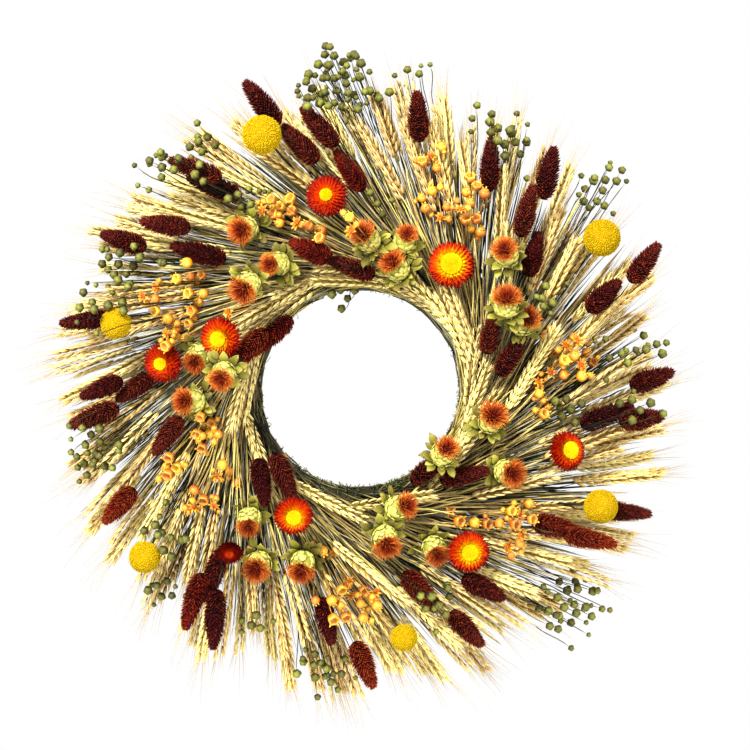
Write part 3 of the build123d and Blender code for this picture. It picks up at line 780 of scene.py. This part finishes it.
def strawflower(piece, heads):
    """Papery bracts in rings, from a dark open rim to a golden middle, round an eye of florets."""
    head = heads[0]
    disc = head.fat
    closed = disc < CLOSED_DISC
    eye_share, red = STRAWFLOWER_LOOKS[int(piece.name.split("_")[1]) - 1]
    eye = disc * eye_share
    foot = head.base + head.neck * head.way
    middle = foot + STRAW_MIDDLE * head.way
    axes = frames(head.way[None], FORWARD)
    cup = lobed([(r * disc * 0.8, h * MM) for r, h in STRAW_CUP], 20)
    piece.scatter(cup, axes, [foot], PETAL, 0.4, grade=(0.85, 0.1))
    steep, less = CLOSED_LEAN if closed else OPEN_LEAN
    for row in range(STRAW_ROWS):
        share = row / (STRAW_ROWS - 1)
        count = int(PETAL_COUNT[0] - PETAL_COUNT[1] * share)
        out = ring_of(head, count, 0.5 * (row % 2), 0.025)
        ways = leaned(head, out, steep - less * share + normal(0, 2, count))
        long = (disc * (PETAL_LONG[0] - PETAL_LONG[1] * share)) * uniform(0.93, 1.05, count)
        radius = disc * PETAL_FEET[0] * (1 - share) + max(eye, disc * PETAL_FEET[1]) * share
        start = middle + head.way * (4.6 * share - 1) * MM + out * radius
        colours = (0.9 - 0.12 * share, 0.1) if closed else (
            0.64 + 0.14 * red - (0.58 - 0.3 * red) * share, 0.36 - 0.14 * red - 0.1 * share)
        piece.scatter(STRAW_BRACT, frames(ways, head.way - 0.3 * out), start, PETAL, random(count),
                      long, grade=colours)
    if not closed:
        dome = lobed([(r * eye, h * MM) for r, h in STRAW_DOME], 24)
        piece.scatter(dome, axes, [middle], EYE, 0.6, grade=(0.5, 0.2))
    florets = CLOSED_FLORETS if closed else int(EYE_FLORETS * eye_share**2)
    share = np.sqrt((np.arange(florets) + 0.5) / florets)
    out = around(head, spiral(florets))
    ways = unit(head.way + out * (0.5 * share)[:, None])
    rise = (5.2 * MM + 1.6 * MM * (1 - share**2))[:, None]
    piece.scatter(EYE_FLORET, frames(ways, out + 0.01),
                  middle + rise * head.way + out * (share * eye)[:, None], PETAL if closed else EYE,
                  random(florets))
    tail = behind(head.base, stem_way(head.base), 12, 16)
    path = wander(straight(tail, foot + 1 * MM * head.way, 5), 1 * MM)
    piece.add(rope(path, 1.2 * MM, 6), GREEN_STEM, 0.6)


# ---- round heads and pods

FLORET = blade(2.1 * MM, (0.6, 0.8, 0.64), (0.6, 0.8, 0.64), 6)
FLORETS_PER_MM2 = 0.42
FLORET_SUNK = 1.7 * MM  # a floret's foot lies this far inside the globe
GLOBE_CORE = 0.955  # the plain ball's share of the globe's radius
PEDICEL = 0.6 * MM


def sphere_ways(count):
    """Directions spread evenly over a sphere."""
    z = 1 - 2 * (np.arange(count) + 0.5) / count
    ring = np.sqrt(1 - z * z)
    turn = GOLDEN * np.arange(count)
    return np.stack([ring * np.cos(turn), ring * np.sin(turn), z], axis=1)


def craspedia(piece, heads):
    """A ball covered with florets, on its stem."""
    head = heads[0]
    middle = head.base + (head.length - head.fat) * head.way
    core = head.fat * GLOBE_CORE
    ball = lobed([(core * math.sin(a), -core * math.cos(a)) for a in np.linspace(0, math.pi, 14)], 28)
    piece.scatter(ball, frames(head.way[None], FORWARD), [middle], GLOBE, 0.5, grade=(0.1, 0.3))
    count = int(FLORETS_PER_MM2 * 4 * math.pi * (head.fat / MM) ** 2)
    ways = unit(sphere_ways(count) + normal(0, 0.02, (count, 3)))
    start = middle + ways * (head.fat - FLORET_SUNK) * uniform(0.975, 1.02, (count, 1))
    piece.scatter(FLORET, frames(ways, ways[:, [1, 2, 0]]), start, GLOBE, random(count),
                  uniform(0.8, 1.1, count))
    tail = behind(head.base, stem_way(head.base), 30, 16)
    neck = middle - 0.9 * head.fat * head.way
    path = wander(np.concatenate([straight(tail, head.base, 5), [neck]]), 1 * MM)
    piece.add(rope(path, 1.0 * MM, 6), GREEN_STEM, 0.9)


FLAX_GLOBE = lobed([(0, -0.98), (0.45, -0.93), (0.82, -0.6), (1, -0.12), (0.97, 0.3), (0.74, 0.68),
                    (0.4, 0.9), (0.13, 1.04), (0, 1.5)], 20, 5, 0.13)
SEPAL = blade(1.25, (0.26, 0.34, 0.16), (0.05, 0.06, 0.04), 5, curl=-0.35, thick=1)
POD_GLOBE = lobed([(0, -1.0), (0.4, -0.95), (0.78, -0.66), (1, -0.18), (0.98, 0.25), (0.8, 0.62),
                   (0.5, 0.86), (0.2, 0.96), (0, 0.98)], 15, 5, 0.06)
POD_CUP = lobed([(0, -1.0), (0.4, -0.95), (0.78, -0.66), (1, -0.18), (1.02, 0.3), (1.0, 0.72),
                 (0.82, 0.8), (0.66, 0.35), (0.4, 0.05), (0, -0.1)], 20, 5, 0.1)
TOOTH = blade(0.62, (0.2, 0.24, 0.12), (0.06, 0.06, 0.04), 4, curl=0.12, thick=1)
STAR_PETAL = blade(1.5, (0.22, 0.32, 0.3, 0.14), (0.06, 0.07, 0.06, 0.03), 6, curl=-0.2, cup=0.1,
                   thick=1)
POD_KINDS = ("globe", "globe", "cup", "cup", "star")
SMALL_PODS, SMALL_FLAX = 1.2, 1.5  # little pods beside each full one, on average
FLAX_SHARE, POD_SHARE = 0.88, 0.94  # a flax or orange pod's radius, as a share of its solid's
HEAP = 26 * MM  # pods this near each other share a fork
POD_STEM_RADII = np.linspace(1.3, 0.7, 9)
# The middle and radius of each globe, strawflower and grass or safflower head
BIG_HEADS = [((points.min(axis=0) + points.max(axis=0)) / 2, np.ptp(points, axis=0).max() / 2)
             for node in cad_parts
             if node.startswith(("craspedia", "strawflower", "safflower", "canary"))
             for points in solids(node)]


def is_free(place, radius):
    """Whether a small pod here would clear every big head."""
    return all(np.linalg.norm(place - middle) > reach + radius for middle, reach in BIG_HEADS)


def pod_stems(piece, heads, material, long, fat):
    """Thin stems that run back together from the pods of one heap, this many millimetres long."""
    places = np.array([head.base for head in heads])
    s = np.linspace(0, 1, len(POD_STEM_RADII))[:, None]
    for head in heads:
        near = places[np.linalg.norm(places - head.base, axis=1) < HEAP].mean(axis=0)
        radius, out = ring_place(near)
        way = stem_way(near) if radius > SWIRL else -out
        root = behind(near, way, long, 24)
        fork = behind(0.45 * head.base + 0.55 * near, way, 0.3 * long, 9)
        neck = head.base - 6 * MM * head.way
        path = ((1 - s) ** 3 * root + 3 * s * (1 - s) ** 2 * fork + 3 * s * s * (1 - s) * neck
                + s**3 * (head.base + head.neck * head.way))
        piece.add(rope(path, POD_STEM_RADII * fat, 4), material, random())


def flax_pod(piece, head, middle, tint, fat):
    """A ribbed globe with a point, held by five narrow sepals."""
    # The pod's ramp gives it a painted highlight round the point and painted shade on its sides and
    # foot.
    piece.scatter(FLAX_GLOBE, frames(head.way[None], POD_OUT), [middle], FLAX, tint, fat)
    out = ring_of(head, 5, random())
    ways = unit(0.5 * head.way + 0.9 * out)
    low = middle - head.way * fat * 1.02
    # The sepals take the near-black foot of the ramp: painted shade under the pod.
    piece.scatter(SEPAL, frames(ways, out), low + 0.12 * fat * out, FLAX, 0.2, fat, grade=(0, 0.15))


def orange_pod(piece, head, middle, tint, kind, fat):
    """A seed pod: a closed globe with a little crown, an open cup or a spread star."""
    basis = frames(head.way[None], POD_OUT)
    if kind == "star":
        for count, lean, size in ((7, 72, 1.0), (6, 42, 0.8)):
            out = ring_of(head, count, random(), 0.15)
            ways = leaned(head, out, lean + normal(0, 9, count))
            places = middle - 0.3 * fat * head.way + 0.1 * fat * out
            piece.scatter(STAR_PETAL, frames(ways, head.way - out), places, ORANGE, random(count),
                          fat * size, grade=(0.3, 0.7))
        piece.scatter(POD_GLOBE, basis, [middle - 0.35 * fat * head.way], ORANGE, 0.2, fat * 0.55,
                      grade=(0, 0.3))
        return
    piece.scatter(POD_CUP if kind == "cup" else POD_GLOBE, basis, [middle], ORANGE, tint, fat)
    out = ring_of(head, 5, random())
    rise, reach, spread = (0.68, 0.92, 0.8) if kind == "cup" else (0.8, 0.42, 0.25)
    places = middle + rise * fat * head.way + reach * fat * out
    piece.scatter(TOOTH, frames(unit(head.way + spread * out), out), places, ORANGE, 0.9, fat,
                  grade=(0.5, 0.5))


def flax_spray(piece, heads):
    """Flax pods with small ones about them, on thin stems."""
    for head in heads:
        middle = head.base + (head.length - head.fat) * head.way
        flax_pod(piece, head, middle - (1 - FLAX_SHARE) * head.fat * head.way, random(),
                 head.fat * FLAX_SHARE)
        for _ in range(rng.poisson(SMALL_FLAX) if ring_place(head.base)[0] > SWIRL else 0):
            small = head.fat * uniform(0.5, 0.8)
            aside = unit(normal(0, 1, 3) * (1, 0.3, 1)) * uniform(8, 24) * MM
            place = middle + aside - FORWARD * uniform(0, 8) * MM
            if is_free(place, small):
                flax_pod(piece, head, place, random(), small)
                neck = place - small * head.way
                root = behind(neck, stem_way(place), uniform(30, 60), 14)
                path = wander(straight(root, neck, 7), 1.5 * MM)
                piece.add(rope(path, 0.35 * MM, 4), GREEN_STEM, random())
    pod_stems(piece, heads, GREEN_STEM, 52, 0.36 * MM)


def orange_spray(piece, heads):
    """Orange pods of several kinds with small closed ones beside them, on thin stems."""
    for head in heads:
        middle = head.base + (head.length - head.fat) * head.way
        orange_pod(piece, head, middle, random(), POD_KINDS[rng.integers(len(POD_KINDS))],
                   head.fat * POD_SHARE)
        for _ in range(rng.poisson(SMALL_PODS)):
            small = head.fat * uniform(0.4, 0.75)
            beside = unit(normal(0, 1, 3) * (1, 0.4, 1)) * (head.fat + small)
            place = middle + (beside - FORWARD * uniform(0, 5) * MM)
            if is_free(place, small):
                orange_pod(piece, head, place, random(), "globe", small)
    pod_stems(piece, heads, POD_STEM, 40, 0.5 * MM)


# ---- the bound core

FIBRES = 1500
MOSS_BITS = 700
FIBRE_LONG = (22 * MM, 75 * MM)
CORE_STEPS, SECTION_STEPS = 96, 28  # round the ring and round the section
CORE_SUNK = 1 * MM  # the core's lumpy skin lies this far inside its solid
MOSS_RIGHT = (-0.9, 0.55)  # most moss is about this angle: mean and spread
MOSS_SHARE = 0.6


def core_point(angle, share, rise):
    """A point off the core's surface: its angle round the ring, its share of the way round the core's
    slot-shaped section, inward along the front first, and how far off it is."""
    round_radius = (CORE_BACK - CORE_FRONT) / 2
    flat = (CORE_RIM - CORE_HOLE) / 2 - round_radius
    bend = math.pi * round_radius
    s = np.mod(share, 1) * (4 * flat + 2 * bend)
    turn = np.clip((s - 2 * flat) / bend, 0, 1) * math.pi
    turn2 = np.clip((s - 4 * flat - bend) / bend, 0, 1) * math.pi
    facing = math.pi / 2 + turn + turn2
    across = flat - np.clip(s, 0, 2 * flat) + np.clip(s - 2 * flat - bend, 0, 2 * flat)
    radius = (CORE_RIM + CORE_HOLE) / 2 + across + (round_radius + rise) * np.cos(facing)
    forward = (round_radius + rise) * np.sin(facing)
    return np.stack([CENTRE[0] + radius * np.cos(angle), CENTRE[1] - forward,
                     CENTRE[2] + radius * np.sin(angle)], axis=-1)


def stem_core():
    """The core as wound stem ends and moss, with greener moss low on its right."""
    piece = Piece("stem_core_wound", [CORE, MOSS])
    a, b = np.meshgrid(np.arange(CORE_STEPS), np.arange(SECTION_STEPS), indexing="ij")
    lumps = normal(0, 0.5, (CORE_STEPS, SECTION_STEPS)) * MM
    points = core_point(a * TURN / CORE_STEPS, b / SECTION_STEPS, lumps - CORE_SUNK).reshape(-1, 3)

    def corner(on, up):
        """For each grid point, the number of the one this many steps on, wrapping round."""
        return (((a + on) % CORE_STEPS) * SECTION_STEPS + (b + up) % SECTION_STEPS).reshape(-1)

    tris = np.concatenate([np.stack([corner(0, 0), corner(1, 1), corner(1, 0)], 1),
                           np.stack([corner(0, 0), corner(0, 1), corner(1, 1)], 1)])
    piece.add(Shape(points, tris, np.full(len(points), 0.15)), CORE, 0.2)
    s = np.linspace(0, 1, 7)
    for _ in range(FIBRES):
        start, share = uniform(0, TURN), random()
        sweep = uniform(*FIBRE_LONG) / CORE_RIM
        drift = normal(0, 0.05)
        rise = (-1.3 + 2.7 * np.sin(math.pi * s)) * MM * uniform(0.5, 1)
        shares = share + drift * s + normal(0, 0.006) * np.sin(TURN * s)
        path = core_point(start + sweep * s, shares, rise)
        piece.add(rope(path, uniform(0.3, 0.85) * MM, 4), CORE, random())
    s = np.linspace(0, 1, 5)
    for _ in range(MOSS_BITS):
        start = normal(*MOSS_RIGHT) if random() < MOSS_SHARE else uniform(0, TURN)
        share = normal(0.36, 0.07)
        rise = np.linspace(-0.5, uniform(1, 4.5), 5) * MM
        path = core_point(start + normal(0, 0.03) * s, share + normal(0, 0.03) * s, rise)
        piece.add(rope(wander(path, 0.9 * MM), uniform(0.25, 0.5) * MM, 3), MOSS, random())
    piece.build("ring", "moss_stems", "stem_core")


# ---- the hanging loop

LOOP_WIRE_RADIUS = 1 * MM
LOOP_HALF = 8 * MM  # half the distance between the legs
COIL_RADIUS = 2.9 * MM
COIL_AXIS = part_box("hanging_loop")[0][2] + 3.9 * MM
COIL_TURNS = 2
COIL_PITCH = 2.02 * LOOP_WIRE_RADIUS
LOOP_BOW = -7 * MM  # the height where the legs end and the bow starts


def hanging_loop():
    """A bent wire with two turns round the outer hoop at each end."""
    points = []
    for side in (-1, 1):
        turn = np.linspace(-COIL_TURNS * TURN, 0, 16 * COIL_TURNS + 1)
        x = side * LOOP_HALF + (turn / TURN + COIL_TURNS / 2) * COIL_PITCH
        y, z = -COIL_RADIUS * np.cos(turn), COIL_AXIS + COIL_RADIUS * np.sin(turn)
        coil = np.stack([x, y, z], axis=1)
        s = np.linspace(0, 1, 6)[1:]
        leg = straight(coil[-1], (side * LOOP_HALF, 0, LOOP_BOW), 6)[1:]
        leg[:, 1] = -COIL_RADIUS * (1 - s) ** 2
        points.append(np.concatenate([coil, leg]))
    bow = np.linspace(math.pi, 0, 17)[1:-1]
    top = np.stack([LOOP_HALF * np.cos(bow), 0 * bow, LOOP_BOW + LOOP_HALF * np.sin(bow)], axis=1)
    path = np.concatenate([points[0], top, points[1][::-1]])
    curve = bpy.data.curves.new("hanging_loop_wire", "CURVE")
    curve.dimensions = "3D"
    curve.bevel_depth = LOOP_WIRE_RADIUS
    curve.bevel_resolution = 4
    curve.use_fill_caps = True
    spline = curve.splines.new("NURBS")
    spline.points.add(len(path) - 1)
    for point, place in zip(spline.points, path):
        point.co = (*place, 1)
    spline.order_u = 3
    spline.use_endpoint_u = True
    spline.resolution_u = 4
    curve.materials.append(LOOP_METAL)
    loop = placed("hanging_loop_wire", curve)
    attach(loop, "hanger")
    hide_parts("hanging_loop")


# ---- everything in its place

# By the start of the nodes' names: the solids' stem radius, the maker, then the piece's suffix, slot
# and materials
KINDS = {
    "wheat_bunch": (WHEAT_STEM, wheat_bunch, "wheat", "wheat_straw", [EAR_GOLD, EAR_PALE, AWN, STRAW]),
    "canary_grass": (WHEAT_STEM, canary_heads, "heads", "canary_grass", [CANARY, GREEN_STEM, RUST]),
    "safflower": (WHEAT_STEM, safflower_heads, "heads", "safflower", [BRACT, TUFT, GREEN_STEM, LEAF]),
    "strawflower": (WHEAT_STEM, strawflower, "petals", "strawflower", [PETAL, EYE, GREEN_STEM]),
    "craspedia": (PEDICEL, craspedia, "globe", "craspedia", [GLOBE, GREEN_STEM]),
    "orange_pod": (PEDICEL, orange_spray, "pods", "orange_pods", [ORANGE, GREEN_STEM, POD_STEM]),
    "flax": (PEDICEL, flax_spray, "pods", "flax_pods", [FLAX, GREEN_STEM, POD_STEM]),
}
nodes = sorted(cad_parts)
for node in nodes:
    for start, (stem_radius, make, suffix, slot, materials) in KINDS.items():
        if node.startswith(start):
            piece = Piece(f"{node}_{suffix}", materials)
            make(piece, [turned(points, stem_radius) for points in solids(node)])
            piece.build("ring", slot, node)
for bunch in range(BUNCHES):
    stem_fillers(bunch)
rim_straws()
stem_core()
hanging_loop()

kept = {node: FRAME_WIRE for node in nodes if node.startswith("frame_")}
kept.update(binding_wire=PADDLE_WIRE, raffia_tie=RAFFIA)
for node, material in kept.items():
    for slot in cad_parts[node].material_slots:
        slot.material = material

# ---- camera, light and floor

VIEW_WIDE = 0.6548
SENSOR = 36
CAMERA_AWAY = 2.5
CAMERA_ASIDE, CAMERA_UP = 0.013, 0.012  # from the ring's middle
FACE = -0.045  # the plane that VIEW_WIDE is measured in
GAMMA = 0.88
FLOOR_REACH = 1.5
FLOOR_DOWN = 0.58  # below the ring's middle
camera_data = bpy.data.cameras.new("camera")
camera_data.sensor_width = SENSOR
camera_data.lens = SENSOR * CAMERA_AWAY / VIEW_WIDE
camera = placed("camera", camera_data)
camera.location = (CENTRE[0] + CAMERA_ASIDE, FACE - CAMERA_AWAY, CENTRE[2] + CAMERA_UP)
camera.rotation_euler = (math.pi / 2, 0, 0)
bpy.context.scene.camera = camera


def lamp(name, place, energy, size):
    """A round soft light that faces the ring."""
    light = bpy.data.lights.new(name, "AREA")
    light.energy = energy
    light.shape = "DISK"
    light.size = size
    obj = placed(name, light)
    obj.location = place
    aim = mathutils.Vector(CENTRE) - mathutils.Vector(place)
    obj.rotation_euler = aim.to_track_quat("-Z", "Y").to_euler()


lamp("key", (-0.8, -1.9, 1.0), 100, 0.6)
lamp("fill", (1.5, -1.8, 0.2), 22, 1.4)

world = bpy.data.worlds.new("studio")
world.use_nodes = True
sky = world.node_tree.nodes["Background"].inputs
sky["Color"].default_value = (1, 1, 1, 1)
sky["Strength"].default_value = 1.0
scene.world = world
scene.view_settings.view_transform = "Standard"
scene.view_settings.gamma = GAMMA

floor_mesh = bpy.data.meshes.new("floor")
corners = [(x * FLOOR_REACH, y * FLOOR_REACH, CENTRE[2] - FLOOR_DOWN)
           for x, y in ((-1, -1), (1, -1), (1, 1), (-1, 1))]
floor_mesh.from_pydata(corners, [], [(0, 1, 2, 3)])
pale_floor = plant("pale_floor", [(0, "f2f2f0"), (1, "f2f2f0")], 1, 1, 0, 20, bump=0, mottle=0.02)
floor_mesh.materials.append(pale_floor)
floor = placed("floor", floor_mesh)
